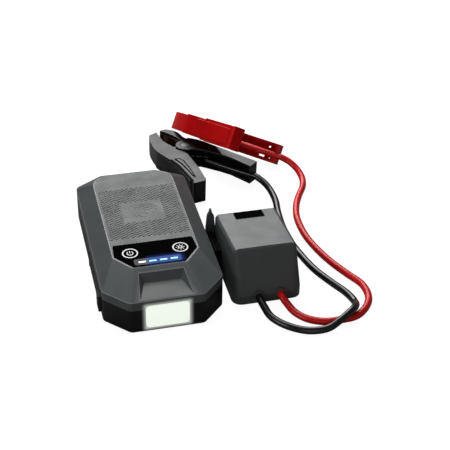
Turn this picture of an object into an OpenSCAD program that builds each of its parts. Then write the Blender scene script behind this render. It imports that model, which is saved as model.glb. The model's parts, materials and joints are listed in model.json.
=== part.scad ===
// Jump starter pack: a flat power pack, a docked lead module and two spring clamps on their leads.
// Millimetres, +Z up, the origin in the middle of the pack's underside. The lamp faces -Y.

/* [Power pack] */
// Width of the pack
body_w = 95; // [88:1:104]
// Length of the pack, lamp face to rear
body_l = 183.4; // [176:0.2:192]
// Height of the flat top
body_h = 39; // [37:0.5:44]
// Height of the rim where the sloped shoulders start
rim_h = 29.3; // [27.5:0.1:31]
// Height of the joint between the two shells
part_h = 21.7; // [21:0.1:24]
// Wall of both pack shells
wall = 2.4; // [1.8:0.1:2.8]
// Radius on the pack's upright edges
corner_r = 6; // [4:0.5:8]
// Width of the bevel round the underside
foot_bevel = 1.2; // [0.6:0.1:2]
// Front corner chamfer, across the pack
front_cut_w = 18.5; // [14:0.5:22]
// Front corner chamfer, along the pack
front_cut_l = 19.3; // [15:0.1:23]
// Rear corner chamfer, across the pack
rear_cut_w = 23.2; // [18:0.1:26]
// Rear corner chamfer, along the pack
rear_cut_l = 14.7; // [11:0.1:18]
// Width of the flat top
top_w = 68.4; // [66:0.2:74]
// From the pack's front face to the flat top
top_front = 30.8; // [27:0.2:33]
// From the pack's rear face to the flat top
top_rear = 16.7; // [13:0.1:20]
// Thickness of the pack's rubber feet
foot_t = 1.2; // [0.8:0.1:1.4]

/* [Panel and buttons] */
// Width of the control panel
panel_w = 65.8; // [60:0.2:66]
// Thickness of the control panel
panel_t = 1.5; // [1:0.1:2]
// Radius of each button cap
button_r = 6.4; // [5:0.1:6.8]
// Distance between the two buttons
button_gap = 40; // [36:1:42]
// How far a button travels
button_travel = 0.6; // [0.3:0.1:0.8]
// Length of a charge bar
bar_l = 5.7; // [4:0.1:6.5]
// Distance from one charge bar to the next
bar_pitch = 8.4; // [7.5:0.1:9]

/* [Flashlight] */
// Width of the flashlight lens
lens_w = 33.4; // [28:0.2:38]
// Height of the flashlight lens
lens_h = 20.5; // [17:0.5:21.5]
// Height of the lens's lower edge
lens_z = 4; // [3.6:0.1:4.6]

/* [Lead module] */
// Width of the lead module at its base
mod_w = 56.3; // [54:0.1:60]
// Width of the lead module's roof
mod_top_w = 51; // [48:0.1:53]
// Length of the lead module
mod_l = 76.5; // [74:0.5:80]
// Height of the lead module's front ridge
mod_h = 44.6; // [42:0.2:47]
// Wall of the module's shells
mod_wall = 2; // [1.6:0.1:2.4]
// Free space between the pack and the docked module
dock_gap = 7.85; // [7.2:0.05:8.6]
// How far the module pulls out of the pack
unplug_travel = 30; // [26:1:34]

/* [Leads] */
// Diameter of the leads
lead_d = 6; // [5:0.5:6]
// Height at which the leads leave the module
lead_exit_z = 7; // [6.5:0.1:8]

/* [Clamps] */
// Width of a clamp's body
clamp_w = 18.6; // [17:0.1:19.4]
// Width of a clamp's jaws
jaw_w = 16.6; // [14:0.1:17]
// Width of the guard at the end of the moving handle
guard_w = 21.4; // [20.8:0.1:24]
// Thickness of a lever's outer web
web_t = 2.4; // [1.8:0.1:2.6]
// Thickness of a lever's side plates
side_t = 2; // [1.6:0.1:2.2]
// Radius of the hinge pin
pin_r = 2.5; // [2:0.1:2.7]
// Diameter of the spring wire
wire_d = 1.4; // [1:0.1:1.4]
// Distance from one spring turn to the next
wire_pitch = 1.9; // [1.85:0.01:1.95]
// How far the jaw teeth stand out of the levers
tooth_proud = 2.2; // [1.6:0.1:2.2]

/* [Hidden] */

// Smoothness of bores, pins and discs
$fn = 48;
// Smoothness of the balls inside hull()
ball_fn = 32;
// Steps in each rounded corner of an outline
arc_steps = 5;
// Overshoot of a cutting tool
cut = 0.1;

// Clearances
fit = 0.2;          // loose seat of one fixed piece in another
run_fit = 0.05;     // shaft in a hole, on the radius
slip = 0.3;         // between pieces that move past each other
rest_gap = 0.1;     // between a piece and what it stands on

// Colours
gray = [0.33, 0.35, 0.36];
black = [0.06, 0.06, 0.07];
dark = [0.12, 0.12, 0.13];
red = [0.75, 0.07, 0.08];
copper = [0.55, 0.30, 0.18];
steel = [0.72, 0.73, 0.75];
board = [0.05, 0.25, 0.14];

// ---------- outlines and sweeps ----------

function unit(v) = v / norm(v);
function wrapped(a) = a > 180 ? a - 360 : a < -180 ? a + 360 : a;
function reversed(p) = [for (i = [len(p) - 1:-1:0]) p[i]];
function shifted(p, by) = [for (q = p) q + by];

// Arc of radius r that rounds corner b between a and c
function corner(a, b, c, r) =
    let (u = unit(a - b), v = unit(c - b), half = acos(max(-1, min(1, u * v))) / 2,
         mid = b + unit(u + v) * (r / sin(half)), t = r / tan(half),
         from = b + u * t - mid, to = b + v * t - mid,
         a0 = atan2(from.y, from.x), turn = wrapped(atan2(to.y, to.x) - a0))
    [for (i = [0:arc_steps]) mid + r * [cos(a0 + turn * i / arc_steps), sin(a0 + turn * i / arc_steps)]];

// Outline with each corner rounded by its own radius
function rounded(p, radii) =
    let (n = len(p))
    [for (i = [0:n - 1]) each corner(p[(i + n - 1) % n], p[i], p[(i + 1) % n], radii[i])];

function rectangle(w, l) = [[-w / 2, -l / 2], [w / 2, -l / 2], [w / 2, l / 2], [-w / 2, l / 2]];
function rounded_rectangle(w, l, r) = rounded(rectangle(w, l), [r, r, r, r]);

// Smooth curve through points, with some steps to each stretch
function curve_point(a, b, c, d, t) =
    0.5 * (2 * b + (c - a) * t + (2 * a - 5 * b + 4 * c - d) * t * t + (3 * b - a - 3 * c + d) * t * t * t);
function smooth(p, steps) =
    let (n = len(p), q = concat([2 * p[0] - p[1]], p, [2 * p[n - 1] - p[n - 2]]))
    concat([for (i = [0:n - 2]) for (j = [0:steps - 1])
        curve_point(q[i], q[i + 1], q[i + 2], q[i + 3], j / steps)], [p[n - 1]]);

// Direction of a path at point i, with the first and last directions given
function heading(p, i, first, last) =
    i == 0 ? first : i == len(p) - 1 ? last : unit(p[i + 1] - p[i - 1]);

// Round tube along a path that never stands upright
module tube(path, r, sides, first, last) {
    n = len(path);
    rings = [for (i = [0:n - 1])
        let (along = heading(path, i, first, last), side = unit(cross(along, [0, 0, 1])), up = cross(side, along))
        for (k = [0:sides - 1]) path[i] + r * (cos(360 * k / sides) * side + sin(360 * k / sides) * up)];
    walls = [for (i = [0:n - 2]) for (k = [0:sides - 1])
        let (a = i * sides + k, b = i * sides + (k + 1) % sides)
        each [[a, a + sides, b], [b, a + sides, b + sides]]];
    caps = [[for (k = [0:sides - 1]) k], [for (k = [sides - 1:-1:0]) (n - 1) * sides + k]];
    polyhedron(points = rings, faces = concat(walls, caps), convexity = 8);
}

module slab(outline, low, high) {
    translate([0, 0, low]) linear_extrude(high - low) polygon(outline);
}

// Block with rounded corners that runs along Y from y0 to y1, its face upright
module upright_block(w, h, r, y0, y1, low) {
    translate([0, y1, low + h / 2]) rotate([90, 0, 0]) linear_extrude(y1 - y0)
        polygon(rounded_rectangle(w, h, r));
}

// ---------- the pack's shape ----------

floor_z = wall;
front_y = -body_l / 2;
rear_y = body_l / 2;
side_x = body_w / 2;

// Chamfer of a corner once its two sides and its cut have moved in by d
function cut_inside(c, d) =
    let (l = norm(c)) [c.x - d + d * (l - c.x) / c.y, c.y - d + d * (l - c.y) / c.x];

function pack_outline(d) =
    let (w = side_x - d, l = rear_y - d, f = cut_inside([front_cut_w, front_cut_l], d),
         r = cut_inside([rear_cut_w, rear_cut_l], d), e = max(1, corner_r - d))
    rounded([[-w, -l + f.y], [f.x - w, -l], [w - f.x, -l], [w, -l + f.y],
        [w, l - r.y], [w - r.x, l], [r.x - w, l], [-w, l - r.y]], [e, e, e, e, e, e, e, e]);

// Flat top, with its front corners cut to the panel's shape
panel_cut_w = 12.8;
panel_cut_l = 16.4;
top_front_y = front_y + top_front;
top_rear_y = rear_y - top_rear;
top_rear_r = 14;
function top_outline(d) =
    let (w = top_w / 2 - d, f = top_front_y + d, b = top_rear_y - d)
    rounded([[-w, f + panel_cut_l], [panel_cut_w - w, f], [w - panel_cut_w, f], [w, f + panel_cut_l],
        [w, b], [-w, b]], [3, 3, 3, 3, top_rear_r, top_rear_r]);

top_skin = 0.5;
module pack_top(d) {
    hull() {
        slab(pack_outline(d), part_h - (d > 0 ? cut : 0), rim_h - d / 3);
        slab(top_outline(d / 3), body_h - d - top_skin, body_h - d);
    }
}

// Hollow in the front slope above the lamp, grown by g for the skin below it
hollow_top_w = 35.6;
hollow_floor_w = 28.8;
hollow_front_w = 42;
hollow_back = 25.7;    // from the front face to the hollow's top edge
hollow_step = 21.1;    // from the front face to the foot of its rear wall
hollow_floor_z = rim_h + 1.7;
hollow_lip_z = rim_h + 0.25;   // leaves a narrow lip in front of the hollow
module slope_hollow(g) {
    a = hollow_top_w / 2 + g;
    b = hollow_floor_w / 2 + g;
    c = hollow_front_w / 2 + g;
    ya = front_y + hollow_back + g;
    yb = front_y + hollow_step + g;
    yc = front_y - cut;
    za = body_h - (top_front - hollow_back) * (body_h - rim_h) / top_front - g;
    zb = hollow_floor_z - g;
    zc = hollow_lip_z - g;
    high = body_h + 5;
    polyhedron(points = [[-a, ya, za], [a, ya, za], [-b, yb, zb], [b, yb, zb], [-c, yc, zc], [c, yc, zc],
            [-c, yc, high], [c, yc, high], [-a, ya, high], [a, ya, high]],
        faces = [[0, 2, 3, 1], [2, 4, 5, 3], [4, 6, 7, 5], [6, 8, 9, 7], [8, 0, 1, 9],
            [0, 4, 2], [0, 8, 6], [0, 6, 4], [1, 3, 5], [1, 7, 9], [1, 5, 7]]);
}

// ---------- places inside the pack ----------

screw_x = side_x - 9.5;
screw_y = 60;
screw_spots = [for (x = [-screw_x, screw_x]) for (y = [-screw_y, screw_y]) [x, y]];
foot_r = 6;
foot_spots = [for (x = [-28, 28]) for (y = [15.7 - rear_y, rear_y - 15.7]) [x, y]];
boss_r = 3.6;
screw_r = 1.45;
screw_head_r = 2.7;
screw_head_z = 0.9;
screw_head_t = 1.6;
screw_top = rim_h;

panel_top = body_h - 0.1;
panel_low = panel_top - panel_t;
button_y = top_front_y + 19.6;
flange_r = button_r + 1;
flange_t = 1.1;
flange_z = panel_low - flange_t - run_fit;
stem_r = 1.6;
stem_low = flange_z - 2.6;
switch_h = 1.6;
switch_top = stem_low - button_travel - rest_gap;
board_t = 1.6;
panel_board_z = switch_top - switch_h - board_t;
bar_y = top_front_y + 6.6;
bar_w = 1.8;
bar_xs = [for (i = [-1.5:1:1.5]) i * bar_pitch];

usb_z = 7;
usb_board_z = usb_z - board_t;
usb_y0 = -54;
usb_y1 = -8;
usb_deep = 13;
usb_face = wall + rest_gap;
// Each port: place along the wall, width and height
usb_sizes = [[-44, 13.2, 5.7], [-28, 13.2, 5.7], [-14, 9, 3.2]];

cover_t = 1.6;
cover_sunk = 0.8;
cover_y0 = -58.5;
cover_z0 = 4;
cover_z1 = 18;
cover_pin_r = 1.2;
cover_pin_y = -3.5;
cover_pin_x = -side_x;
tab_l = 8;
tab_t = 2.5;

window_low = 6;
window_high = 14;

// The jump port and the plug that fills it
port_y = -17;
port_z = 14;
port_w = 24;
port_h = 12.6;
nose_w = 20;
nose_h = 10;
nose_l = 9;
contact_gap = 10.4;
contact_r = 3.4;
plug_pin_r = 2.5;
socket_l = 21;
socket_face = side_x - fit;
socket_back = socket_face - socket_l;

cell_t = 7.7;
cell_count = 3;
cell_x0 = -screw_x + boss_r + slip;
cell_x1 = socket_back - 5;
cell_y0 = usb_y1 + 3;
cell_y1 = rear_y - rear_cut_l - wall;
cells_top = floor_z + slip + cell_count * (cell_t + slip) - slip;
main_board_z = cells_top + slip;
coil_y = 16.5;
coil_r = 22;
coil_t = 1;
ferrite_t = 1;
coil_z = body_h - wall - rest_gap - coil_t;
lens_t = 2.6;
lens_lip = 1.5;

module at_screws() {
    for (p = screw_spots) translate([p.x, p.y, 0]) children();
}

module lens_hole(g) {
    upright_block(lens_w + 2 * g, lens_h + 2 * g, 3 + g, front_y - cut, front_y + wall + cut, lens_z - g);
}

module port_hole(g) {
    translate([side_x - wall - cut, port_y - port_w / 2 - g, port_z - port_h / 2 - g])
        cube([wall + 2 * cut, port_w + 2 * g, port_h + 2 * g]);
}

// ---------- the pack's pieces ----------

module lower_shell() {
    color(black) difference() {
        union() {
            difference() {
                hull() {
                    slab(pack_outline(foot_bevel), 0, cut);
                    slab(pack_outline(0), foot_bevel, part_h);
                }
                slab(pack_outline(wall), floor_z, part_h + cut);
            }
            at_screws() cylinder(r = boss_r, h = part_h - rest_gap);
            // Saddle under the jump socket
            translate([socket_back + 2, port_y - port_w / 2 + 3, floor_z - cut])
                cube([socket_l - 6, port_w - 6, port_z - port_h / 2 - rest_gap - floor_z + cut]);
            // Ribs that carry the USB board
            for (y = [usb_y0 + 3, usb_y1 - 5]) translate([-side_x + wall - cut, y, floor_z - cut])
                cube([usb_deep, 2, usb_board_z - rest_gap - floor_z + cut]);
            // Rest under the lamp board
            translate([-6, reflector_y + reflector_l, floor_z - cut]) cube([12, 2, lens_z - rest_gap - floor_z + cut]);
        }
        at_screws() {
            translate([0, 0, -cut]) cylinder(r = screw_head_r + fit, h = screw_head_z + screw_head_t + cut);
            cylinder(r = screw_r + fit, h = part_h);
        }
        for (p = foot_spots) translate([p.x, p.y, -cut]) cylinder(r = foot_r + rest_gap, h = foot_t + cut);
        lens_hole(rest_gap);
        port_hole(fit / 2);
        // Port window with its shallow seat for the cover
        translate([-side_x - cut, usb_y0 + 1, window_low]) cube([wall + 2 * cut, usb_y1 - usb_y0 - 2, window_high - window_low]);
        translate([-side_x - cut, cover_y0 - fit, cover_z0 - fit])
            cube([cover_sunk + cut, cover_pin_y - cover_y0 + fit, cover_z1 - cover_z0 + 2 * fit]);
        translate([cover_pin_x, cover_pin_y, cover_z0 - fit])
            cylinder(r = cover_pin_r + run_fit, h = cover_z1 - cover_z0 + 2 * fit);
    }
}

lip_h = 2;
lip_t = 1;
module upper_shell() {
    color(gray) difference() {
        union() {
            difference() {
                pack_top(0);
                difference() {
                    pack_top(wall);
                    slope_hollow(wall);
                }
            }
            // Lip that drops inside the lower shell
            difference() {
                slab(pack_outline(wall + rest_gap), part_h - lip_h, part_h + wall);
                slab(pack_outline(wall + rest_gap + lip_t), part_h - lip_h - cut, part_h + wall + cut);
            }
            intersection() {
                at_screws() translate([0, 0, part_h]) cylinder(r = boss_r, h = body_h - part_h);
                pack_top(wall / 2);
            }
        }
        slope_hollow(0);
        translate([0, 0, part_h]) at_screws() cylinder(r = screw_r + run_fit, h = screw_top - part_h + 1);
        slab(panel_outline(rest_gap), panel_low, body_h + cut);
        for (x = [-1, 1]) translate([x * button_gap / 2, button_y, panel_low - 5])
            cylinder(r = flange_r + slip, h = 6);
        for (x = bar_xs) translate([x - bar_l / 2 - fit, bar_y - bar_w / 2 - fit, panel_low - 5])
            cube([bar_l + 2 * fit, bar_w + 2 * fit, 6]);
        lens_hole(rest_gap);
        // Room for the lens's flange, the USB window and the jump socket behind the lip
        translate([-lens_w / 2 - lens_lip - fit, front_y + wall - cut, part_h - lip_h - cut])
            cube([lens_w + 2 * lens_lip + 2 * fit, lens_t, lens_h + lens_z + lens_lip + fit - part_h + lip_h + cut]);
        translate([socket_back, port_y - port_w / 2 - 1, part_h - lip_h - cut])
            cube([side_x - wall - socket_back, port_w + 2, lip_h + cut]);
    }
}

module rubber_feet() {
    color(dark) for (p = foot_spots) translate([p.x, p.y, 0]) cylinder(r = foot_r, h = foot_t - rest_gap);
}

module case_screws() {
    color(steel) at_screws() difference() {
        union() {
            translate([0, 0, screw_head_z]) cylinder(r = screw_head_r, h = screw_head_t);
            translate([0, 0, screw_head_z]) cylinder(r = screw_r, h = screw_top - screw_head_z);
        }
        for (a = [0, 90]) rotate(a) translate([-1.6, -0.3, screw_head_z - cut]) cube([3.2, 0.6, 0.9]);
    }
}

function panel_outline(g) =
    let (w = panel_w / 2 + g, f = top_front_y + 0.4 - g, b = top_front_y + 32.2 + g)
    rounded([[-w, f + panel_cut_l], [panel_cut_w - w, f], [w - panel_cut_w, f], [w, f + panel_cut_l],
        [w - 1, b], [1 - w, b]], [2, 2, 2, 2, 1.5, 1.5]);

module control_panel() {
    color(black) difference() {
        slab(panel_outline(0), panel_low, panel_top);
        for (x = [-1, 1]) translate([x * button_gap / 2, button_y, panel_low - cut])
            cylinder(r = button_r + fit, h = panel_t + 2 * cut);
        for (x = bar_xs) translate([x - bar_l / 2 - rest_gap, bar_y - bar_w / 2 - rest_gap, panel_low - cut])
            cube([bar_l + fit, bar_w + fit, panel_t + 2 * cut]);
    }
}

module push_button(x) {
    color(black) translate([x, button_y, 0]) {
        translate([0, 0, flange_z]) cylinder(r = button_r, h = body_h - flange_z);
        translate([0, 0, flange_z]) cylinder(r = flange_r, h = flange_t);
        translate([0, 0, stem_low]) cylinder(r = stem_r, h = flange_z - stem_low + cut);
    }
}

module power_button() {
    push_button(-button_gap / 2);
}

module light_button() {
    push_button(button_gap / 2);
}

module button_switches() {
    color(steel) for (x = [-1, 1]) translate([x * button_gap / 2, button_y, panel_board_z + board_t]) {
        translate([-3, -3, 0]) cube([6, 6, switch_h - 0.4]);
        cylinder(r = 1.7, h = switch_h);
    }
}

module charge_bars() {
    color([0.3, 0.6, 0.9]) for (x = bar_xs)
        translate([x - bar_l / 2, bar_y - bar_w / 2, panel_board_z + board_t])
            cube([bar_l, bar_w, panel_top - panel_board_z - board_t]);
}

panel_board_l = 21;
module panel_board() {
    color(board) translate([-panel_w / 2 + 7, bar_y - 2, panel_board_z]) cube([panel_w - 14, panel_board_l, board_t]);
}

module battery_cells() {
    color([0.55, 0.6, 0.65]) for (i = [0:cell_count - 1])
        translate([cell_x0, cell_y0, floor_z + slip + i * (cell_t + slip)])
            cube([cell_x1 - cell_x0, cell_y1 - cell_y0, cell_t]);
}

module main_board() {
    color(board) translate([cell_x0, port_y - port_w / 2, main_board_z])
        cube([cell_x1 - cell_x0, cell_y1 - 8 - port_y + port_w / 2, board_t]);
}

// Two bars from the main board down to the socket's contacts
bar_t = 1.5;
module bus_bars() {
    color(copper) for (s = [-1, 1]) {
        y = port_y + s * contact_gap / 2;
        x = socket_back - 1.5 - bar_t;
        translate([x, y - 3, port_z - 3]) cube([bar_t, 6, main_board_z + board_t + bar_t + rest_gap - port_z + 3]);
        translate([cell_x1 - 3, y - 3, main_board_z + board_t + rest_gap]) cube([x + cut - cell_x1 + 3, 6, bar_t]);
        translate([x, y, port_z]) rotate([0, 90, 0]) cylinder(r = 2.4, h = 1.5 + bar_t + 1);
    }
}

module charging_coil() {
    color(copper) translate([0, coil_y, coil_z]) difference() {
        cylinder(r = coil_r, h = coil_t);
        translate([0, 0, -cut]) cylinder(r = coil_r / 2, h = coil_t + 2 * cut);
    }
}

module ferrite_plate() {
    color(dark) translate([-coil_r - 2, coil_y - coil_r - 2, coil_z - ferrite_t])
        cube([2 * coil_r + 4, 2 * coil_r + 4, ferrite_t]);
}

module flashlight_lens() {
    color([0.92, 0.95, 0.95]) {
        upright_block(lens_w, lens_h, 3, front_y, front_y + wall + cut, lens_z);
        upright_block(lens_w + 2 * lens_lip, lens_h + 2 * lens_lip, 3 + lens_lip,
            front_y + wall + rest_gap, front_y + wall + lens_t - rest_gap, lens_z - lens_lip);
    }
}

reflector_l = 7;
reflector_y = front_y + wall + lens_t;
module lamp_reflector() {
    color([0.9, 0.9, 0.9]) difference() {
        upright_block(lens_w, lens_h - 2, 3, reflector_y, reflector_y + reflector_l, lens_z + 1);
        hull() {
            upright_block(lens_w - 2, lens_h - 4, 2, reflector_y - cut, reflector_y, lens_z + 2);
            upright_block(lens_w - 12, lens_h - 12, 2, reflector_y + reflector_l, reflector_y + reflector_l + cut, lens_z + 6);
        }
    }
}

module lamp_board() {
    color(board) {
        translate([-lens_w / 2, reflector_y + reflector_l + rest_gap, lens_z])
            cube([lens_w, board_t - 0.8, lens_h - 1]);
        for (x = [-6, 0, 6]) for (z = [-2, 2])
            translate([x - 1.2, reflector_y + reflector_l + rest_gap - 1, lens_z + lens_h / 2 + z - 1.2])
                cube([2.4, 1.1, 2.4]);
    }
}

module usb_ports() {
    color(steel) for (p = usb_sizes) translate([-side_x + usb_face, p[0] - p[1] / 2, usb_z + rest_gap / 2]) {
        difference() {
            cube([usb_deep, p[1], p[2]]);
            translate([-cut, 0.4, 0.4]) cube([usb_deep - 1, p[1] - 0.8, p[2] - 0.8]);
        }
        translate([2, 1, p[2] * 0.55]) cube([usb_deep - 2, p[1] - 2, 0.8]);
    }
}

module usb_board() {
    color(board) translate([-side_x + usb_face, usb_y0, usb_board_z]) cube([usb_deep + 1, usb_y1 - usb_y0 + 1, board_t]);
}

// Rubber cover over the USB ports, with its hinge bead at the rear and its pull tab at the front
module side_port_cover() {
    color(dark) {
        translate([-side_x - cover_t + cover_sunk, cover_y0, cover_z0])
            cube([cover_t - 0.02, cover_pin_y - cover_y0, cover_z1 - cover_z0]);
        translate([-side_x, usb_y0 + 1.5, window_low + slip])
            cube([2, usb_y1 - usb_y0 - 3, window_high - window_low - 2 * slip]);
        translate([cover_pin_x, cover_pin_y, cover_z0]) cylinder(r = cover_pin_r, h = cover_z1 - cover_z0);
        translate([-side_x - tab_t, cover_y0 - tab_l, cover_z0 + 1.5])
            cube([tab_t - rest_gap / 2, tab_l + 2, cover_z1 - cover_z0 + 0.5]);
    }
}

module jump_socket() {
    color(dark) difference() {
        translate([socket_back, port_y - port_w / 2, port_z - port_h / 2]) cube([socket_l, port_w, port_h]);
        translate([socket_face - nose_l, port_y - nose_w / 2 - fit, port_z - nose_h / 2 - fit])
            cube([nose_l + cut, nose_w + 2 * fit, nose_h + 2 * fit]);
        for (s = [-1, 1]) translate([socket_back - cut, port_y + s * contact_gap / 2, port_z])
            rotate([0, 90, 0]) cylinder(r = contact_r + 0.02, h = socket_l);
    }
}

module socket_contacts() {
    color([0.8, 0.65, 0.3]) for (s = [-1, 1])
        translate([socket_back, port_y + s * contact_gap / 2, port_z]) rotate([0, 90, 0]) difference() {
            cylinder(r = contact_r, h = socket_l - nose_l - rest_gap);
            translate([0, 0, -cut]) cylinder(r = plug_pin_r + run_fit, h = socket_l);
        }
}

// ---------- the lead module ----------

mod_x = side_x + dock_gap + mod_w / 2;
mod_front = -75.6;
mod_rear = mod_front + mod_l;
mod_joint = 8;
mod_ridge_in = 12.25;   // the ridge stands this far behind the foot of the front face
mod_bend_in = 52.6;     // the roof bends this far behind the foot of the front face
mod_bend_drop = 4.2;
mod_rear_drop = 6.7;
mod_foot_r = 8;
ridge_r = 3;
roof_r = 3.8;
roof_flare = 0.8;      // the roof's rear end is this much wider on each side

module ball(x, y, z, r) {
    translate([x, y, z]) sphere(r = r, $fn = ball_fn);
}

// The module's outside, moved in by d
module module_form(d) {
    hull() {
        translate([mod_x, (mod_front + mod_rear) / 2, d])
            linear_extrude(mod_joint - d) polygon(rounded_rectangle(mod_w - 2 * d, mod_l - 2 * d, mod_foot_r - d));
        for (s = [-1, 1]) {
            ball(mod_x + s * (mod_top_w / 2 - ridge_r), mod_front + mod_ridge_in + 2, mod_h - ridge_r, ridge_r - d);
            ball(mod_x + s * (mod_top_w / 2 - roof_r), mod_front + mod_bend_in, mod_h - mod_bend_drop - roof_r, roof_r - d);
            ball(mod_x + s * (mod_top_w / 2 + roof_flare - roof_r), mod_rear - roof_r, mod_h - mod_rear_drop - roof_r,
                roof_r - d);
        }
    }
}

mod_screw_x = 19;
mod_screw_spots = [for (x = [-mod_screw_x, mod_screw_x]) for (y = [mod_front + 12, mod_rear - 10]) [mod_x + x, y]];
mod_screw_top = 18;
mod_boss_r = 3.2;
lead_xs = [mod_x - 7.7, mod_x + 10.2];
gland_neck_r = 4.2;
gland_flange_r = 5;
gland_proud = 1.2;
plug_core_w = 24;
plug_core_h = 15;
plug_core_z = port_z;
plug_back = mod_x - mod_w / 2 + 4;

module module_openings() {
    translate([mod_x - mod_w / 2 - 1, port_y - plug_core_w / 2 - fit, plug_core_z - plug_core_h / 2 - fit])
        cube([plug_back - mod_x + mod_w / 2 + 1, plug_core_w + 2 * fit, plug_core_h + 2 * fit]);
    for (x = lead_xs) translate([x, mod_front - 1, lead_exit_z]) rotate([-90, 0, 0])
        cylinder(r = gland_neck_r + fit / 2, h = 8);
}

module module_lower_shell() {
    color(gray) difference() {
        union() {
            intersection() {
                difference() {
                    module_form(0);
                    module_form(mod_wall);
                }
                translate([mod_x - mod_w, mod_front - 1, -1]) cube([2 * mod_w, mod_l + 2, mod_joint + 1]);
            }
            for (p = mod_screw_spots) translate([p.x, p.y, 0.5]) cylinder(r = mod_boss_r, h = mod_joint - 0.6);
            // Ribs that carry the board
            for (y = [mod_front + 14, mod_rear - 16]) translate([mod_x - 12, y, mod_wall - cut])
                cube([24, 2, mod_board_z - rest_gap - mod_wall + cut]);
        }
        for (p = mod_screw_spots) translate([p.x, p.y, -cut]) {
            cylinder(r = screw_head_r + fit, h = screw_head_z + screw_head_t + cut);
            cylinder(r = screw_r + fit, h = mod_joint + 1);
        }
        module_openings();
    }
}

module module_upper_shell() {
    color(gray) difference() {
        union() {
            intersection() {
                difference() {
                    module_form(0);
                    module_form(mod_wall);
                }
                translate([mod_x - mod_w, mod_front - 1, mod_joint + 0.02]) cube([2 * mod_w, mod_l + 2, mod_h]);
            }
            intersection() {
                for (p = mod_screw_spots) translate([p.x, p.y, mod_joint + 0.02]) cylinder(r = mod_boss_r, h = mod_h);
                module_form(mod_wall / 2);
            }
        }
        for (p = mod_screw_spots) translate([p.x, p.y, 0]) cylinder(r = screw_r + run_fit, h = mod_screw_top + 1);
        module_openings();
    }
}

module module_screws() {
    color(steel) for (p = mod_screw_spots) translate([p.x, p.y, screw_head_z]) {
        cylinder(r = screw_head_r, h = screw_head_t);
        cylinder(r = screw_r, h = mod_screw_top - screw_head_z);
    }
}

label_w = 24;
label_l = 12.5;
label_over = 1.5;       // how far it runs over the roof's rear edge line
label_t = 0.4;
roof_run = mod_rear - roof_r - mod_front - mod_bend_in;
roof_fall = mod_rear_drop - mod_bend_drop;
roof_tilt = atan2(roof_fall, roof_run);
module module_label() {
    color(black) translate([mod_x + 0.7, mod_rear - roof_r, mod_h - mod_rear_drop - roof_r]) rotate([-roof_tilt, 0, 0])
        translate([-label_w / 2, label_over - label_l, roof_r + 0.03]) cube([label_w, label_l - label_over, label_t]);
}

mod_board_z = mod_joint + 1;
mod_board_w = 2 * (mod_screw_x - mod_boss_r - slip);
mod_board_in = 8;        // the board's ends stand this far inside the module's
module module_board() {
    color(board) translate([mod_x - mod_board_w / 2, mod_front + mod_board_in, mod_board_z])
        cube([mod_board_w, mod_l - 2 * mod_board_in, board_t]);
}

relay_w = 19;
relay_l = 24;
relay_h = 16;
relay_y = mod_front + 22;
module module_relay() {
    color([0.1, 0.12, 0.3]) translate([mod_x - relay_w / 2, relay_y, mod_board_z + board_t])
        cube([relay_w, relay_l, relay_h]);
}

rib_count = 3;
rib_t = 1.2;
module plug_body() {
    color(black) difference() {
        union() {
            translate([side_x + slip, port_y - plug_core_w / 2, plug_core_z - plug_core_h / 2])
                cube([plug_back - side_x - slip, plug_core_w, plug_core_h]);
            translate([socket_face - nose_l + slip, port_y - nose_w / 2, port_z - nose_h / 2])
                cube([nose_l + 1, nose_w, nose_h]);
            for (i = [0:rib_count - 1])
                translate([side_x + 1 + i * 2 * rib_t, port_y - plug_core_w / 2 - 2, plug_core_z - plug_core_h / 2 - 1.5])
                    cube([rib_t, plug_core_w + 4, plug_core_h + 3]);
        }
        for (s = [-1, 1]) translate([socket_face - nose_l, port_y + s * contact_gap / 2, port_z])
            rotate([0, 90, 0]) cylinder(r = plug_pin_r + 0.02, h = 40);
    }
}

module plug_pins() {
    color([0.8, 0.65, 0.3]) for (s = [-1, 1])
        translate([socket_back + 2.5, port_y + s * contact_gap / 2, port_z]) rotate([0, 90, 0])
            cylinder(r = plug_pin_r, h = plug_back + 1 - socket_back - 2.5);
}

collar_t = 2.6;
collar_low = 5;
collar_foot_h = 13;
collar_foot_w = 13;
collar_y = mod_rear - 1.6;
plug_grip_y = port_y + plug_core_w / 2 + 2;
collar_x = side_x + 2.3;
// Tapered plate that ends in a thin fin, seen from the front
collar_outline = rounded([[collar_x, collar_low], [collar_x + 9, collar_low], [collar_x + 7, 36.4],
    [collar_x + 5.5, 38.6], [collar_x + 4.7, 43], [collar_x + 3.4, 43], [collar_x + 2.6, 39.6], [collar_x + 1.2, 37.4],
    [collar_x, 24]], [1, 1, 1, 1.5, 0.4, 0.4, 1.5, 1.5, 2]);
module dock_collar() {
    color(gray) difference() {
        union() {
            translate([0, collar_y + collar_t, 0]) rotate([90, 0, 0]) linear_extrude(collar_t) polygon(collar_outline);
            // Foot that joins the plug's grip and wraps the module's corner
            translate([collar_x, collar_y, collar_low]) cube([collar_foot_w, collar_t, collar_foot_h]);
            translate([collar_x, plug_grip_y + rest_gap, collar_low])
                cube([5, collar_y + cut - plug_grip_y - rest_gap, collar_foot_h]);
        }
        module_form(-rest_gap);
    }
}

module gland(x, tint) {
    color(tint) translate([x, mod_front - gland_proud, lead_exit_z]) rotate([-90, 0, 0]) {
        cylinder(r = gland_flange_r, h = gland_proud - 0.02);
        cylinder(r = gland_neck_r, h = gland_proud + mod_wall + 2);
    }
}

module black_gland() {
    gland(lead_xs[0], black);
}

module red_gland() {
    gland(lead_xs[1], red);
}

// ---------- the clamps ----------
// Each clamp is drawn round its hinge: the jaws point along +X and the moving lever lies on the +Y side.

pin_hole_r = pin_r + run_fit;
ear_r = 8.5;
ear_clear = ear_r + 1;
inner_ear_t = 2;
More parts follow.
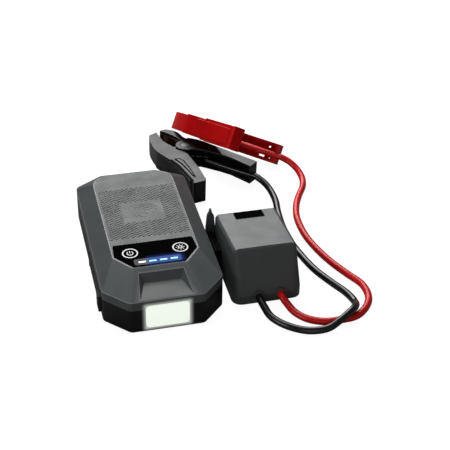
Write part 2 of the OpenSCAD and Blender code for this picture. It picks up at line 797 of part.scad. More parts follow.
// Cheek of the fixed lever round the hinge, drawn back along the handle
cheek_outline = rounded([[6.5, -8], [6.5, 4.5], [3.5, 7.4], [-3, 8], [-8, 4.4], [-10.2, -0.6], [-17.4, -7], [-12, -14]],
    [2, 2, 4, 5, 3, 2, 2, 2]);
inner_ear_r = 6.2;
body_z = clamp_w / 2;
jaw_z = jaw_w / 2;
jaw_root = 9;
grip_z = body_z - side_t;
hold_z = jaw_z - side_t;
pad_z = guard_w / 2 - 0.3;
pad_x = -15;
jaw_t = 1;
tooth_count = 10;
tooth_share = 0.94;      // of the bite, so the jaw stops short of the lever's tip
tooth_deep = 1.6;

moving_outer = smooth([[36.5, 14], [27.5, 20], [19, 23.8], [10.5, 26.8], [3.5, 28.4], [-9, 28.4], [-17.5, 28],
    [-28.5, 28.9], [-41.5, 31.8], [-57.5, 36]], 3);
moving_bite = smooth([[12.5, 10.3], [20.5, 10.2], [28, 8.2], [37.2, 4.6]], 4);
moving_inner = concat(reversed(moving_bite), [[5.5, 11], [-1.5, 11.5], [-11.5, 8.5], [-17.5, 10],
    [-28.5, 13.4], [-43.5, 18], [-59.5, 24.6]]);
fixed_outer = smooth([[36.8, -6], [31, -10], [24, -11.4], [13.5, -9.7], [9, -11.4], [3, -15.2], [-5.5, -18.6],
    [-17, -21.2], [-31, -24.6], [-41.5, -27.2], [-53.5, -30.2], [-59.5, -31.8], [-64.5, -33]], 3);
fixed_bite = smooth([[12.5, -3.8], [18, -4.2], [26.5, -3], [37.8, 0.4]], 4);
fixed_inner = concat(reversed(fixed_bite), [[5.5, -2], [-11.5, -2.5], [-17.5, -7], [-33.5, -14.4],
    [-44.5, -18.5], [-67.7, -22]]);
guard_outline = rounded([[-55, 26.5], [-58.5, 37.4], [-61.7, 39], [-64.4, 27.6], [-61.1, 24.8]], [0.5, 1, 1, 2, 1]);
inset_outline = rounded([[-16.5, 26], [-18, 20.8], [-24.5, 20.4], [-39.5, 24.8], [-54.5, 30.6], [-53.5, 32.4],
    [-40.5, 29], [-27.5, 26.3]], [1, 1.5, 1.5, 2, 0.8, 0.8, 2, 2]);
inset_deep = 1.6;
boss_outline = rounded([[-17.9, 24.8], [-19, 22.1], [-24.4, 21.7], [-39, 25.8], [-50, 29.8], [-49.6, 30.5],
    [-40, 27.9], [-27.4, 25.1]], [0.6, 0.6, 0.8, 1, 0.3, 0.3, 1, 1]);
panel_from = 14;
panel_to = 26;
panel_proud = 0.7;

function lever_outline(outer, inner) = concat(outer, reversed(inner));
// Hollow of a lever: its outline less the web, open towards the other lever
function lever_hollow(outer, away) =
    concat(shifted(outer, [0, -away * web_t]), [outer[len(outer) - 1] + [0, -away * 30], outer[0] + [0, -away * 30]]);

module both_sides() {
    children();
    mirror([0, 0, 1]) children();
}

module wide(outline, half) {
    slab(outline, -half, half);
}

// Block that keeps only one end of a clamp: s = 1 the jaws, s = -1 the handles
module clamp_end(s) {
    translate([s > 0 ? jaw_root : jaw_root - 100, -60, -20]) cube([100, 120, 40]);
}

// A lever's body: narrow at the jaws, wide at the handle, hollow between its side plates
module lever_body(outer, inner, away) {
    difference() {
        union() {
            intersection() {
                wide(lever_outline(outer, inner), jaw_z);
                clamp_end(1);
            }
            intersection() {
                wide(lever_outline(outer, inner), body_z);
                clamp_end(-1);
            }
        }
        intersection() {
            wide(lever_hollow(outer, away), hold_z);
            clamp_end(1);
        }
        intersection() {
            wide(lever_hollow(outer, away), grip_z);
            translate([1, 0, 0]) clamp_end(-1);
        }
    }
}

module fixed_lever(tint) {
    color(tint) difference() {
        union() {
            difference() {
                lever_body(fixed_outer, fixed_inner, -1);
                // Slots and a hole through the handle's web
                translate([-54, -40, 4]) cube([3, 30, 1.6]);
                translate([-50.5, -40, -6.1]) cube([6.5, 30, 1.7]);
                translate([-55.5, -10, -5.4]) rotate([90, 0, 0]) cylinder(r = 1, h = 30);
            }
            both_sides() translate([0, 0, grip_z]) linear_extrude(side_t) union() {
                circle(r = ear_r);
                polygon(cheek_outline);
            }
        }
        along_tail(-5) cylinder(r = lead_r + fit, h = 12);
        cylinder(r = pin_r + 0.02, h = 2 * clamp_w, center = true);
        both_sides() translate([0, 0, body_z - 0.8]) cylinder(r = pin_r + 1.2, h = 2);
    }
}

module moving_lever(tint) {
    color(tint) both_sides() translate([0, 0, pad_z - inset_deep - cut])
        linear_extrude(guard_w / 2 - pad_z + inset_deep + cut) polygon(boss_outline);
    color(tint) difference() {
        union() {
            lever_body(moving_outer, moving_inner, 1);
            difference() {
                wide(guard_outline, guard_w / 2);
                wide(lever_hollow(moving_outer, 1), grip_z);
            }
            // Thicker sides of the handle
            difference() {
                intersection() {
                    wide(lever_outline(moving_outer, moving_inner), pad_z);
                    translate([pad_x - 60, -60, -20]) cube([60, 120, 40]);
                }
                wide(lever_hollow(moving_outer, 1), grip_z);
            }
            // Raised panel on the back of the handle
            wide(concat([for (i = [panel_from:panel_to]) moving_outer[i]],
                [for (i = [panel_to:-1:panel_from]) moving_outer[i] + [0, panel_proud]]), grip_z);
            both_sides() intersection() {
                translate([0, 0, grip_z - slip - inner_ear_t])
                    linear_extrude(inner_ear_t + slip + cut) union() {
                        circle(r = inner_ear_r);
                        intersection() {
                            circle(r = ear_clear + 4);
                            polygon([[-5, 2], [5, 2], [8, 20], [-12, 20]]);
                        }
                    }
            }
        }
        both_sides() {
            translate([0, 0, grip_z - slip]) cylinder(r = ear_clear, h = 20);
            translate([0, 0, pad_z - inset_deep]) linear_extrude(20) polygon(inset_outline);
        }
        cylinder(r = pin_hole_r, h = 2 * clamp_w, center = true);
    }
}

// Point at a share t of the way along a list of points
function along(p, t) =
    let (u = t * (len(p) - 1), i = min(floor(u), len(p) - 2)) p[i] + (p[i + 1] - p[i]) * (u - i);

// Saw-toothed jaw that follows a lever's bite and backs onto its web
module jaw(bite, way, back_root, back_tip) {
    teeth = [for (i = [0:2 * tooth_count])
        along(bite, tooth_share * i / (2 * tooth_count)) + [0, way * (tooth_proud - (i % 2 == 0 ? tooth_deep : 0))]];
    root = teeth[0];
    tip = teeth[2 * tooth_count];
    difference() {
        wide(concat([[root.x, back_root]], teeth, [[tip.x, back_tip]]), hold_z - slip);
        wide([[root.x - 1, back_root + way * jaw_t], [root.x - 1, root.y + way * 20], [tip.x + 1, tip.y + way * 20],
            [tip.x + 1, back_tip + way * jaw_t]], hold_z - slip - jaw_t);
    }
}

module fixed_jaw() {
    color(copper) jaw(fixed_bite, 1, -7.2, -3.4);
}

module moving_jaw() {
    color(copper) jaw(moving_bite, -1, 23, 11);
}

module hinge_pin() {
    color(steel) {
        cylinder(r = pin_r, h = clamp_w, center = true);
        both_sides() translate([0, 0, body_z - 0.8 + 0.02]) cylinder(r = pin_r + 1, h = 0.78);
    }
}

// The spring: a leg on the fixed lever, its turns and a leg on the moving lever
coil_mid_r = 4.4;
coil_turns = 4;
coil_from = -50;
coil_to = 50 + 360 * coil_turns;
coil_steps = 8;
fixed_leg = 21.6;
moving_leg = 33;
function coil_point(a, z) = [coil_mid_r * cos(a), coil_mid_r * sin(a), z];
function coil_tangent(a) = [-sin(a), cos(a), 0];
spring_turn = coil_to - coil_from;
spring_rise = wire_pitch * spring_turn / 360;
spring_count = ceil(spring_turn / 360 * coil_steps);
coil_path = [for (i = [0:spring_count])
    coil_point(coil_from + spring_turn * i / spring_count, spring_rise * (i / spring_count - 0.5))];
spring_path = concat([coil_path[0] - fixed_leg * coil_tangent(coil_from)], coil_path,
    [coil_path[spring_count] + moving_leg * coil_tangent(coil_to)]);
spring_gap = min([for (i = [0:spring_count - 5]) for (j = [i + 5:spring_count])
    norm(coil_path[j] - coil_path[i])]) - wire_d;
echo(spring_gap = spring_gap);

module spring() {
    color(steel) tube(spring_path, wire_d / 2, 6, coil_tangent(coil_from), coil_tangent(coil_to));
}

// The lead's last stretch, which lies in the fixed handle, and its crimp
lead_r = lead_d / 2;
tail_out = [-67.6, -25.1, -1.5];
tail_l = 41;
crimp_l = 8;
tongue_l = 5;
tail_turn = 20;
tail_way = [cos(tail_turn), sin(tail_turn), 0];

module along_tail(from) {
    translate(tail_out) rotate([0, 0, tail_turn]) translate([from, 0, 0]) rotate([0, 90, 0]) children();
}

module lead_tail(tint) {
    color(tint) along_tail(0) cylinder(r = lead_r, h = tail_l);
}

module crimp() {
    color(copper) along_tail(tail_l) {
        cylinder(r = lead_r - 0.2, h = crimp_l);
        translate([-2.5, 1 - lead_r, crimp_l - cut]) cube([5, 0.8, tongue_l]);
    }
}

black_hinge = [62.2, 145, 10];
black_turn = [2, 0.8, 117];
red_hinge = [91.3, 166.3, 17.9];
red_turn = [35.1, 7.8, 123.2];

module place_black() {
    translate(black_hinge) rotate(black_turn) children();
}

module place_red() {
    translate(red_hinge) rotate(red_turn) children();
}

module black_fixed_lever() {
    place_black() fixed_lever(black);
}

module black_moving_lever() {
    place_black() moving_lever(black);
}

module black_fixed_jaw() {
    place_black() fixed_jaw();
}

module black_moving_jaw() {
    place_black() moving_jaw();
}

module black_hinge_pin() {
    place_black() hinge_pin();
}

module black_spring() {
    place_black() spring();
}

module black_lead_tail() {
    place_black() lead_tail(black);
}

module black_crimp() {
    place_black() crimp();
}

module red_fixed_lever() {
    place_red() fixed_lever(red);
}

module red_moving_lever() {
    place_red() moving_lever(red);
}

module red_fixed_jaw() {
    place_red() fixed_jaw();
}

module red_moving_jaw() {
    place_red() moving_jaw();
}

module red_hinge_pin() {
    place_red() hinge_pin();
}

module red_spring() {
    place_red() spring();
}

module red_lead_tail() {
    place_red() lead_tail(red);
}

module red_crimp() {
    place_red() crimp();
}

// ---------- the free leads ----------

function turned(v, a) = [v.x * cos(a) - v.y * sin(a), v.x * sin(a) + v.y * cos(a)];
function turn_x(v, a) = let (p = turned([v.y, v.z], a)) [v.x, p.x, p.y];
function turn_y(v, a) = let (p = turned([v.z, v.x], a)) [p.y, v.y, p.x];
function turn_z(v, a) = let (p = turned([v.x, v.y], a)) [p.x, p.y, v.z];
function turn_all(v, a) = turn_z(turn_y(turn_x(v, a.x), a.y), a.z);

tail_face = tail_out - 0.02 * tail_way;
black_end = black_hinge + turn_all(tail_face, black_turn);
black_end_way = -turn_all(tail_way, black_turn);
red_end = red_hinge + turn_all(tail_face, red_turn);
red_end_way = -turn_all(tail_way, red_turn);
gland_face = mod_front - gland_proud;
out = [0, -1, 0];

black_route = [[77, -88, 5.4], [80, -99, 3.2], [89, -111.5, 3], [103, -120.5, 3], [118, -122, 3.6],
    [129, -119, 7.4], [138, -114, 9.8], [145, -107, 8.4], [149, -96, 4], [146.5, -82, 3], [139, -66, 3],
    [131, -47, 3], [125.7, -25, 3], [122.6, -3, 3], [122.3, 20, 3], [124.4, 42, 3], [127, 58, 3], [126.8, 73, 4.2],
    [123.8, 84, 6.4]];
red_route = [[95.4, -86, 5], [99.4, -97, 3.1], [107, -107, 3], [119, -113, 3], [132, -113.4, 3],
    [145, -111.6, 3], [156, -102.6, 3], [162.4, -90, 3], [162.4, -74, 3], [155.4, -58.6, 3], [147, -39, 3],
    [140.6, -17, 3], [137.4, 4, 3], [138, 28, 3], [142.7, 47, 3], [149.4, 62, 3], [157.6, 77, 3], [161, 90, 3.4],
    [159.8, 102.2, 5.6], [154.8, 110.9, 9]];

function lead_path(start, route, end, end_way) =
    smooth(concat([start, start + 4 * out], route, [end + 4 * end_way, end]), 2);

module black_lead() {
    start = [lead_xs[0], gland_face, lead_exit_z];
    color(black) tube(lead_path(start, black_route, black_end, black_end_way), lead_r, 10, out, -black_end_way);
}

module red_lead() {
    start = [lead_xs[1], gland_face, lead_exit_z];
    color(red) tube(lead_path(start, red_route, red_end, red_end_way), lead_r, 10, out, -red_end_way);
}

lower_shell();
upper_shell();
rubber_feet();
case_screws();
control_panel();
power_button();
light_button();
button_switches();
charge_bars();
panel_board();
battery_cells();
main_board();
bus_bars();
charging_coil();
ferrite_plate();
flashlight_lens();
lamp_reflector();
lamp_board();
usb_ports();
usb_board();
side_port_cover();
jump_socket();
socket_contacts();
module_upper_shell();
module_lower_shell();
module_screws();
module_label();
module_board();
module_relay();
plug_body();
plug_pins();
dock_collar();
black_gland();
red_gland();
black_lead();
red_lead();
black_fixed_lever();
black_moving_lever();
black_fixed_jaw();
black_moving_jaw();
black_hinge_pin();
black_spring();
black_lead_tail();
black_crimp();
red_fixed_lever();
red_moving_lever();
red_fixed_jaw();
red_moving_jaw();
red_hinge_pin();
red_spring();
red_lead_tail();
red_crimp();
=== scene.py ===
import bpy
import bmesh
import json
import math
import numpy as np
from mathutils import Vector, Matrix
from mathutils.bvhtree import BVHTree

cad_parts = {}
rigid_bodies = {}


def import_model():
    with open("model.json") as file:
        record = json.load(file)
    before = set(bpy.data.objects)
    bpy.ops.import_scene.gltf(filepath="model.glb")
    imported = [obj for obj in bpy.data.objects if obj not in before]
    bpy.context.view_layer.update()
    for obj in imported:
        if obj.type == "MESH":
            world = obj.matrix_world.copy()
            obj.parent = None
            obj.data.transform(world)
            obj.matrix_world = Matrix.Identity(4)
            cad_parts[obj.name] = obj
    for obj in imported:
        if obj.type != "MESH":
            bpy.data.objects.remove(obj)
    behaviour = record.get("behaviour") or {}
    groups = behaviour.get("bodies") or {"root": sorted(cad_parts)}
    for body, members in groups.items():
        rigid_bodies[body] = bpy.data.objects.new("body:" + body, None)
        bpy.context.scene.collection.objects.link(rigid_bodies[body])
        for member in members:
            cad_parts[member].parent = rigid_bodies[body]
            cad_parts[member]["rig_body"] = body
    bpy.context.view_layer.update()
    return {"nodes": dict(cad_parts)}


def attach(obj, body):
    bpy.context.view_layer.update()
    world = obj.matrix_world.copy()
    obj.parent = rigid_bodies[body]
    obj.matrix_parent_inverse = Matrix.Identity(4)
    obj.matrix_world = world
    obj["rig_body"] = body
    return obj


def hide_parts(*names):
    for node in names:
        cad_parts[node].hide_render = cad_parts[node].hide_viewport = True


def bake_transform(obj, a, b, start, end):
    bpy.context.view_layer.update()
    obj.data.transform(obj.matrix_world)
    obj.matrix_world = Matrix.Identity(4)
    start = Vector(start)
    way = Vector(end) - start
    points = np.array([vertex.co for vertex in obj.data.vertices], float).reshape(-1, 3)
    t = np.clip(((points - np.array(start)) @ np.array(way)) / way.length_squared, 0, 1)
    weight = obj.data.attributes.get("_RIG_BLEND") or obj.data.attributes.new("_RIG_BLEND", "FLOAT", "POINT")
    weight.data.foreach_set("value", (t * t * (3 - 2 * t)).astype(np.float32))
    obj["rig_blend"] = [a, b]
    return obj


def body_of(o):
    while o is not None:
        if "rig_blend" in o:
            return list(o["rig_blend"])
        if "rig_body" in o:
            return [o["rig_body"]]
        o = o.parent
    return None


for old in list(bpy.data.objects):
    bpy.data.objects.remove(old)

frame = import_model()
cadNodes = frame["nodes"]
scene = bpy.context.scene
mm = 0.001
print("frame loaded:", len(cadNodes), "nodes")


def linked(name, data):
    made = bpy.data.objects.new(name, data)
    scene.collection.objects.link(made)
    return made


view = {
    "aim": (0.07515, 0.03582, 0),   # the point on the floor in the middle of the frame
    "distance": 1.0021,
    "turn": -13.936,       # degrees round the vertical, from straight in front
    "tilt": 55.5,          # degrees up from looking straight down
    "roll": 0.854,
    "lens": 92.22,
    "sensor": 36.0,
    "clip": (0.02, 20),
}


def addCamera(spec):
    data = bpy.data.cameras.new("productCamera")
    data.lens = spec["lens"]
    data.sensor_width = spec["sensor"]
    data.clip_start, data.clip_end = spec["clip"]
    turn, tilt, roll = [math.radians(spec[key]) for key in ("turn", "tilt", "roll")]
    axes = Matrix.Rotation(turn, 4, "Z") @ Matrix.Rotation(tilt, 4, "X") @ Matrix.Rotation(roll, 4, "Z")
    back = Matrix.Translation((0, 0, spec["distance"]))
    camera = linked("productCamera", data)
    camera.matrix_world = Matrix.Translation(spec["aim"]) @ axes @ back
    scene.camera = camera


addCamera(view)

studio = {
    "floorSize": 12.0,
    "floorDrop": 0.0002,   # the floor lies this far below the pack's feet
    "floorColor": (0.32, 0.32, 0.32),
    "floorRough": 0.9,
    "floorGlow": 0.93,     # how bright the paper looks to the camera, without lighting the pieces
    "skyColor": (1.0, 1.0, 1.0),
    "skyStrength": 0.09,
    "lamps": [  # name, place, aim, size, watts
        ("rearSoftbox", (0.1, 1.2, 0.95), (0.04, 0.02, 0), 1.1, 17.2),
        ("overhead", (-0.1, 0.5, 1.3), (0.04, 0.02, 0), 0.8, 1.4),
        ("leftPanel", (-1.2, -0.4, 0.62), (0.03, 0.02, 0.02), 0.6, 3.2),
        ("frontCard", (-0.2, -1.3, 0.5), (0.04, 0.0, 0.02), 1.0, 1.6),
    ],
}


def addFloor(spec):
    half = spec["floorSize"] / 2
    corners = [(-half, -half, 0), (half, -half, 0), (half, half, 0), (-half, half, 0)]
    mesh = bpy.data.meshes.new("floor")
    mesh.from_pydata(corners, [], [(0, 1, 2, 3)])
    floor = linked("floor", mesh)
    floor.location.z = -spec["floorDrop"]
    paper = bpy.data.materials.new("studioPaper")
    paper.use_nodes = True
    tree = paper.node_tree
    shader = tree.nodes["Principled BSDF"]
    shader.inputs["Base Color"].default_value = (*spec["floorColor"], 1)
    shader.inputs["Roughness"].default_value = spec["floorRough"]
    shader.inputs["Emission Color"].default_value = (1, 1, 1, 1)
    rays = tree.nodes.new("ShaderNodeLightPath")
    glow = tree.nodes.new("ShaderNodeMath")
    glow.operation = "MULTIPLY"
    glow.inputs[1].default_value = spec["floorGlow"]
    tree.links.new(rays.outputs["Is Camera Ray"], glow.inputs[0])
    tree.links.new(glow.outputs[0], shader.inputs["Emission Strength"])
    mesh.materials.append(paper)


def addLight(spec):
    world = bpy.data.worlds.new("studioSky")
    world.use_nodes = True
    sky = world.node_tree.nodes["Background"]
    sky.inputs["Color"].default_value = (*spec["skyColor"], 1)
    sky.inputs["Strength"].default_value = spec["skyStrength"]
    scene.world = world
    for name, place, aim, size, watts in spec["lamps"]:
        data = bpy.data.lights.new(name, "AREA")
        data.size = size
        data.energy = watts
        lamp = linked(name, data)
        lamp.location = place
        lamp.rotation_euler = (Vector(place) - Vector(aim)).to_track_quat("Z", "Y").to_euler()
    scene.view_settings.view_transform = "Standard"


addFloor(studio)
addLight(studio)
print("camera, floor and light ready")

noiseSpan = (0.3, 0.7)     # this stretch of a noise is spread over the whole range


class Finish:
    # one procedural material, with short calls for the nodes it needs
    def __init__(self, name, color, rough, metal=0.0):
        self.material = bpy.data.materials.new(name)
        self.material.use_nodes = True
        self.tree = self.material.node_tree
        self.shader = self.tree.nodes["Principled BSDF"]
        self.color = color
        self.set(Base_Color=(*color, 1), Roughness=rough, Metallic=metal)
        self.coords = self.node("ShaderNodeTexCoord").outputs["Object"]

    def set(self, **values):
        for key, value in values.items():
            self.shader.inputs[key.replace("_", " ")].default_value = value

    def node(self, kind, **values):
        made = self.tree.nodes.new(kind)
        for key, value in values.items():
            setattr(made, key, value)
        return made

    def link(self, source, target):
        self.tree.links.new(source, target)

    def calc(self, operation, *values):
        made = self.node("ShaderNodeMath", operation=operation)
        for place, value in enumerate(values):
            if isinstance(value, (int, float)):
                made.inputs[place].default_value = value
            else:
                self.link(value, made.inputs[place])
        return made.outputs[0]

    def noise(self, scale, detail, stretch=None):
        made = self.node("ShaderNodeTexNoise")
        made.inputs["Scale"].default_value = scale
        made.inputs["Detail"].default_value = detail
        source = self.coords
        if stretch:
            mapping = self.node("ShaderNodeMapping")
            mapping.inputs["Scale"].default_value = stretch
            self.link(source, mapping.inputs["Vector"])
            source = mapping.outputs["Vector"]
        self.link(source, made.inputs["Vector"])
        return made.outputs["Fac"]

    def ranged(self, value, low, high):
        made = self.node("ShaderNodeMapRange")
        made.inputs["From Min"].default_value, made.inputs["From Max"].default_value = noiseSpan
        made.inputs["To Min"].default_value = low
        made.inputs["To Max"].default_value = high
        self.link(value, made.inputs["Value"])
        return made.outputs["Result"]

    def tinted(self, value, dark, light):
        # the base colour drifts between two shades of itself
        made = self.node("ShaderNodeMix", data_type="RGBA")
        made.inputs["A"].default_value = (*[c * dark for c in self.color], 1)
        made.inputs["B"].default_value = (*[min(1, c * light) for c in self.color], 1)
        self.link(self.ranged(value, 0, 1), made.inputs["Factor"])
        self.link(made.outputs["Result"], self.shader.inputs["Base Color"])

    def roughened(self, value, low, high):
        self.link(self.ranged(value, low, high), self.shader.inputs["Roughness"])

    def bumped(self, value, depth):
        made = self.node("ShaderNodeBump")
        made.inputs["Distance"].default_value = depth
        made.inputs["Strength"].default_value = 1.0
        self.link(value, made.inputs["Height"])
        self.link(made.outputs["Normal"], self.shader.inputs["Normal"])

    def glowing(self, color, strength):
        self.set(Emission_Color=(*color, 1), Emission_Strength=strength)

    def spilled(self, spec):
        # painted glow: light that spreads from a lit window over the plastic round it, painted on as emission
        parts = self.node("ShaderNodeSeparateXYZ")
        self.link(self.coords, parts.inputs[0])
        away = 0.0
        for axis, middle, half in zip(spec["axes"], spec["middle"], spec["half"]):
            off = self.calc("ABSOLUTE", self.calc("SUBTRACT", parts.outputs[axis], middle * mm))
            past = self.calc("MAXIMUM", self.calc("SUBTRACT", off, half * mm), 0.0)
            away = self.calc("ADD", self.calc("MULTIPLY", past, past), away)
        share = self.calc("DIVIDE", self.calc("SQRT", away), spec["reach"] * mm)
        near = self.calc("MAXIMUM", self.calc("SUBTRACT", 1.0, share), 0.0)
        fade = self.calc("MULTIPLY", self.calc("POWER", near, 2.0), spec["strength"])
        if "only" in spec:
            axis, limit = spec["only"]
            fade = self.calc("MULTIPLY", fade, self.calc("LESS_THAN", parts.outputs[axis], limit * mm))
        self.set(Emission_Color=(*spec["color"], 1))
        self.link(fade, self.shader.inputs["Emission Strength"])


# painted light: the lamp's glow painted as emission on the shell's front round the lens
lampSpill = {
    "axes": (0, 2),        # the plane that the light spreads in
    "middle": (0, 14.25),
    "half": (16.7, 10.25),
    "reach": 4.2,
    "strength": 0.5,
    "only": (1, -86),      # the axis and limit of the faces that catch it, here the front ones
    "color": (0.95, 1.0, 0.93),
}

# painted light: the bars' blue glow painted as emission on the panel and capsule round them
barSpill = {
    "axes": (0, 1),
    "middle": (5.2, -54.0),
    "half": (11.2, 1.4),
    "reach": 7.0,
    "strength": 0.3,
    "color": (0.12, 0.26, 1.0),
}

plastic = {  # a noise is its scale and detail
    "metal": 0.0,
    "gloss": 0.5,
    "grain": (2600, 2),
    "grainDepth": 0.00003,
    "clouds": (45, 4),
    "shades": (0.93, 1.07),    # darkest and lightest share of the colour
    "rubbed": (70, 5),
    "stretch": None,
}

plastics = {
    # shellGray and shellBlack carry the lamp's painted glow (spill) as emission
    "shellGray": {"color": (0.092, 0.104, 0.105), "rough": (0.4, 0.52), "gloss": 0.45, "spill": lampSpill},
    # painted highlight: a light finish on the upper shell's eased edges
    "edgeHighlightGray": {"color": (0.3, 0.32, 0.325), "rough": (0.3, 0.4), "gloss": 0.6},
    "padGray": {"color": (0.062, 0.07, 0.071), "rough": (0.45, 0.55), "gloss": 0.3},
    "moduleGray": {"color": (0.09, 0.1, 0.102), "rough": (0.36, 0.46)},
    "shellBlack": {"color": (0.008, 0.008, 0.009), "rough": (0.4, 0.5), "gloss": 0.3, "spill": lampSpill},
    # painted highlight: a light finish on the lower shell's bottom edge
    "rimHighlight": {"color": (0.34, 0.345, 0.35), "rough": (0.3, 0.4)},
    "softRubber": {"color": (0.012, 0.012, 0.013), "rough": (0.6, 0.72), "grain": (1800, 2),
                   "grainDepth": 0.00005},
    # panelGloss and capsuleGray carry the bars' painted blue glow (spill) as emission
    "panelGloss": {"color": (0.0008, 0.0008, 0.001), "rough": (0.12, 0.2), "gloss": 0.001, "grain": (300, 2),
                   "grainDepth": 0.000003, "spill": barSpill},
    "capsuleGray": {"color": (0.085, 0.085, 0.088), "rough": (0.4, 0.5), "gloss": 0.1, "spill": barSpill},
    "blueField": {"color": (0.004, 0.01, 0.05), "rough": (0.3, 0.4), "gloss": 0.02,
                  "glow": ((0.13, 0.28, 1), 0.3)},
    # white print with a painted glow that keeps it bright
    "whitePrintPaintedGlow": {"color": (0.8, 0.8, 0.8), "rough": (0.4, 0.5), "gloss": 0.3, "glow": ((1, 1, 1), 0.32)},
    # the label's own black, also used for the painted shadow strip at the module's ridge
    "labelAndRidgeShadowBlack": {"color": (0.002, 0.002, 0.002), "rough": (0.4, 0.5), "gloss": 0.001},
    "plugBlack": {"color": (0.0035, 0.0035, 0.004), "rough": (0.6, 0.7), "gloss": 0.05},
    "clampBlack": {"color": (0.0025, 0.0025, 0.003), "rough": (0.3, 0.4), "gloss": 0.38, "grain": (2000, 2)},
    "clampRed": {"color": (0.76, 0.001, 0.0015), "rough": (0.36, 0.44), "gloss": 0.14, "grain": (2000, 2)},
    # painted highlights: lighter finishes on the clamps' eased edges
    "edgeBlack": {"color": (0.07, 0.072, 0.075), "rough": (0.3, 0.4)},
    "edgeRed": {"color": (0.85, 0.03, 0.03), "rough": (0.3, 0.4)},
    "leadBlack": {"color": (0.005, 0.005, 0.0055), "rough": (0.2, 0.27), "gloss": 0.75, "grain": (1500, 2),
                  "grainDepth": 0.00001},
    "leadRed": {"color": (0.93, 0.006, 0.008), "rough": (0.26, 0.34), "gloss": 0.45, "grain": (1500, 2),
                "grainDepth": 0.00001},
    "circuitBoard": {"color": (0.01, 0.09, 0.04), "rough": (0.25, 0.4), "grain": (900, 2)},
    "ferrite": {"color": (0.02, 0.02, 0.02), "rough": (0.6, 0.7)},
    "relayCase": {"color": (0.02, 0.03, 0.1), "rough": (0.3, 0.4)},
}

brushed = {
    "metal": 1.0,
    "gloss": 0.5,
    "grain": (900, 3),
    "grainDepth": 0.00002,
    "clouds": (120, 3),
    "shades": (0.85, 1.1),
    "rubbed": (300, 4),
}

metals = {
    "steel": {"color": (0.6, 0.61, 0.63), "rough": (0.2, 0.35), "stretch": (1, 1, 9)},
    "darkSteel": {"color": (0.16, 0.165, 0.17), "rough": (0.3, 0.42), "stretch": (1, 1, 9)},
    "darkCopper": {"color": (0.16, 0.085, 0.062), "rough": (0.3, 0.42), "stretch": (1, 1, 6)},
    "copper": {"color": (0.72, 0.38, 0.22), "rough": (0.25, 0.4), "stretch": (6, 1, 1)},
    "brass": {"color": (0.78, 0.58, 0.25), "rough": (0.2, 0.32), "stretch": (6, 1, 1)},
    "cellFoil": {"color": (0.55, 0.57, 0.6), "rough": (0.35, 0.5), "stretch": (1, 5, 1)},
}

litWindow = {
    "rough": (0.15, 0.25),
    "rubbed": (200, 2),
}

litWindows = {  # colour and strength
    "lensGlow": ((0.9, 0.96, 0.87), 0.75),
    "blueGlow": ((0.2, 0.6, 1.0), 1.0),
    "whiteGlow": ((0.92, 0.95, 1.0), 0.95),
}

mirror = {
    "color": (0.9, 0.9, 0.9),
    "rough": 0.08,
}


def surfaceFinish(name, family, spec):
    # fine grain, faint cloudiness and rubbed patches, drawn out along the brushing on metal
    look = {**family, **spec}
    made = Finish(name, look["color"], sum(look["rough"]) / 2, look["metal"])
    made.set(Specular_IOR_Level=look["gloss"])
    made.bumped(made.noise(*look["grain"], look["stretch"]), look["grainDepth"])
    made.tinted(made.noise(*look["clouds"]), *look["shades"])
    made.roughened(made.noise(*look["rubbed"], look["stretch"]), *look["rough"])
    if "glow" in look:
        made.glowing(*look["glow"])
    if "spill" in look:
        made.spilled(look["spill"])
    return made.material


def litFinish(name, color, strength):
    made = Finish(name, color, sum(litWindow["rough"]) / 2)
    made.roughened(made.noise(*litWindow["rubbed"]), *litWindow["rough"])
    made.glowing(color, strength)
    return made.material


finishes = {name: surfaceFinish(name, plastic, spec) for name, spec in plastics.items()}
finishes.update({name: surfaceFinish(name, brushed, spec) for name, spec in metals.items()})
finishes.update({name: litFinish(name, *spec) for name, spec in litWindows.items()})
finishes["reflector"] = Finish("reflector", mirror["color"], mirror["rough"], 1.0).material

nodeFinishes = {  # of the pieces that keep their CAD form
    "moduleGray": ["black_gland", "red_gland"],
    "softRubber": ["rubber_feet"],
    "steel": ["case_screws", "button_switches", "usb_ports", "module_screws"],
    "darkSteel": ["black_hinge_pin", "red_hinge_pin"],
    "panelGloss": ["control_panel", "power_button", "light_button"],
    "circuitBoard": ["panel_board", "main_board", "lamp_board", "usb_board", "module_board"],
    "cellFoil": ["battery_cells"],
    "copper": ["bus_bars", "charging_coil"],
    "ferrite": ["ferrite_plate"],
    "lensGlow": ["flashlight_lens"],
    "reflector": ["lamp_reflector"],
    "plugBlack": ["jump_socket"],
    "brass": ["socket_contacts", "plug_pins"],
    "labelAndRidgeShadowBlack": ["module_label"],
    "relayCase": ["module_relay"],
    "leadBlack": ["black_lead_tail", "black_crimp"],
    "leadRed": ["red_lead_tail"],
    "darkCopper": ["red_crimp", "black_fixed_jaw", "black_moving_jaw", "red_fixed_jaw", "red_moving_jaw"],
}


def dress(thing, finish):
    if not thing.material_slots:
        thing.data.materials.append(None)
    for place in thing.material_slots:
        place.material = finishes[finish]


for finish, names in nodeFinishes.items():
    for name in names:
        dress(cadNodes[name], finish)
print("materials ready:", len(finishes))

welding = {
    "distance": 0.002,     # points this near each other are one
    "flat": 1.0,           # faces within this angle, in degrees, are joined
}


def bodyOf(node):
    return body_of(cadNodes[node])[0]


def mergedCopy(node, spec):
    # a CAD node's form as one welded mesh with its flat faces joined
    form = bmesh.new()
    form.from_mesh(cadNodes[node].data)
    bmesh.ops.remove_doubles(form, verts=form.verts, dist=spec["distance"] * mm)
    bmesh.ops.dissolve_limit(form, angle_limit=math.radians(spec["flat"]), use_dissolve_boundaries=False,
                             verts=form.verts, edges=form.edges)
    return form


def meshFrom(form, name):
    mesh = bpy.data.meshes.new(name)
    form.to_mesh(mesh)
    form.free()
    return mesh


